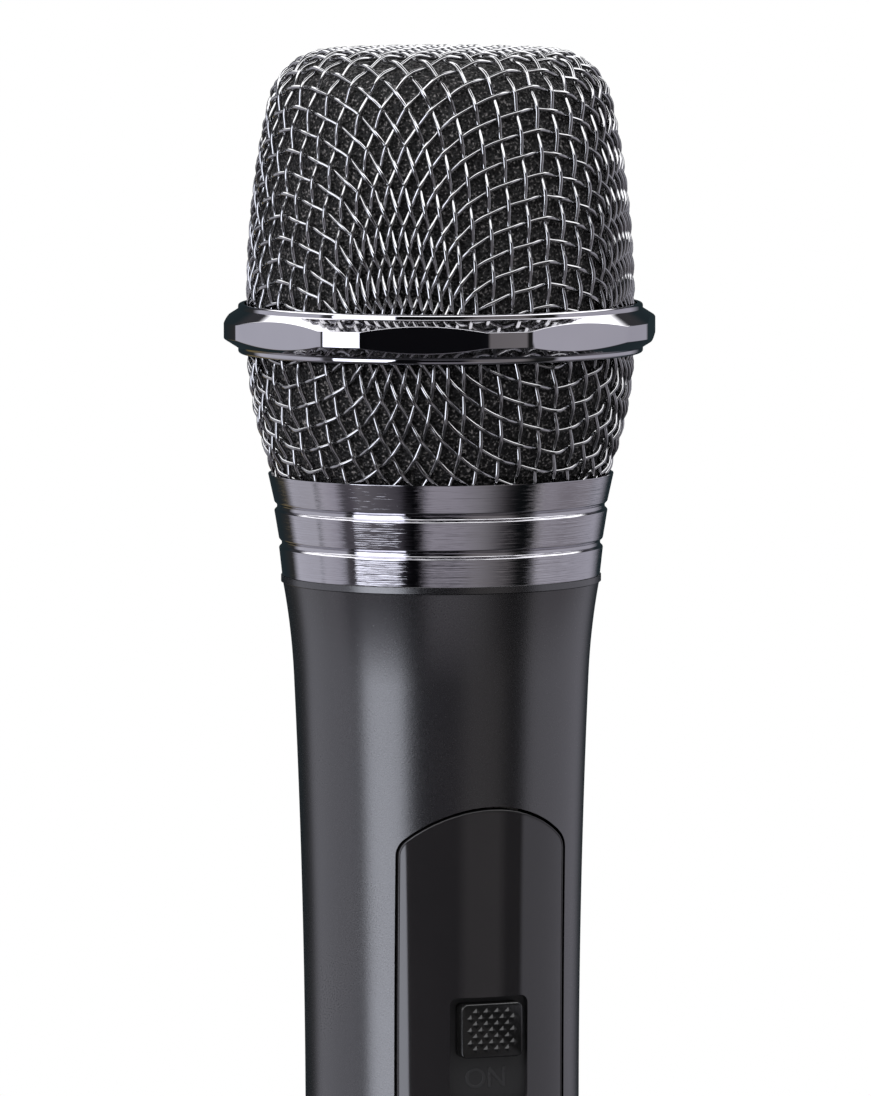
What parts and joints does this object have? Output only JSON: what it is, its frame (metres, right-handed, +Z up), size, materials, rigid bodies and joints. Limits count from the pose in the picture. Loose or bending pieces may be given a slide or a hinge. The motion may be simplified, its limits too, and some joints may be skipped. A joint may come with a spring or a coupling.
{
  "type": "karaoke microphone",
  "caption": "Cordless handheld karaoke microphone with woven wire head, faceted anti-roll ring, flared handle, slide switch and screw-off battery sleeve.",
  "frame": {"origin": "middle of the flat foot of the end cap, which is also the middle of the base of the bounding box", "axes": "+Z up along the microphone's axis to the wire head; the switch faces -Y; +X to the right seen from the switch"},
  "size_m": [0.056, 0.056, 0.245],
  "materials": {
    "handle_coat": "satin powder coat",
    "sleeve_coat": "satin powder coat",
    "cap_plastic": "satin",
    "panel_gloss": "high gloss",
    "knob_plastic": "knurled, semi-gloss",
    "shutter_plastic": "satin",
    "stem_plastic": "natural",
    "switch_metal": "tinned",
    "laminate": "phenolic",
    "board": "solder mask",
    "zinc": "zinc plated",
    "tin": "tinned",
    "epoxy": "moulded",
    "capacitor": "sleeved",
    "spigot_plastic": "moulded",
    "cradle_plastic": "moulded",
    "tinned_wire": "tinned",
    "cell_left": "plain sleeve",
    "cell_right": "plain sleeve",
    "contact": "nickel plated",
    "collar_chrome": "polished black",
    "ring_chrome": "polished black",
    "band": "bare",
    "upper_wire": "dark plated wire",
    "lower_wire": "dark plated wire",
    "foam": "open-cell foam",
    "seat_plastic": "moulded",
    "mount_rubber": "moulded",
    "can_plastic": "moulded",
    "frame_plastic": "moulded",
    "front_plastic": "moulded",
    "steel": "plated",
    "magnet_plate": "nickel plated",
    "copper": "enamelled wire",
    "film": "clear film",
    "clamp": "bare",
    "lead_insulation": "insulated"
  },
  "bodies": {
    "handle": {"handle_shell": "handle_coat", "switch_panel": "panel_gloss", "switch_case": "switch_metal", "switch_base": "laminate", "circuit_board": "board", "board_screws": "zinc", "screening_can": "tin", "board_chips": "epoxy", "board_capacitors": "capacitor", "battery_spigot": "spigot_plastic", "battery_cradle": "cradle_plastic", "aerial_wire": "tinned_wire", "left_cell": "cell_left", "right_cell": "cell_right", "contact_bridge": "contact", "contact_tabs": "contact", "capsule_seat": "seat_plastic", "shock_mount": "mount_rubber", "capsule_can": "can_plastic", "capsule_frame": "frame_plastic", "capsule_front": "front_plastic", "magnet_yoke": "steel", "magnet": "magnet_plate", "pole_plate": "steel", "voice_coil": "copper", "diaphragm": "film", "clamp_ring": "clamp", "terminal_board": "laminate", "capsule_leads": "lead_insulation"},
    "head": {"upper_grille": "upper_wire", "lower_grille": "lower_wire", "grille_ring": "ring_chrome", "inner_band": "band", "head_collar": "collar_chrome", "upper_foam": "foam", "lower_foam": "foam"},
    "sleeve": {"battery_sleeve": "sleeve_coat", "end_cap": "cap_plastic"},
    "slider": {"switch_knob": "knob_plastic", "switch_shutter": "shutter_plastic", "switch_stem": "stem_plastic"}
  },
  "joints": [
    {"name": "switch_slide", "type": "slide", "parent": "handle", "child": "slider", "axis": [0, 0, -1], "range_m": [0, 0.005]},
    {"name": "head_unscrew", "type": "slide", "parent": "handle", "child": "head", "axis": [0, 0, 1], "range_m": [0, 0.06]},
    {"name": "sleeve_unscrew", "type": "slide", "parent": "handle", "child": "sleeve", "axis": [0, 0, -1], "range_m": [0, 0.075]}
  ]
}
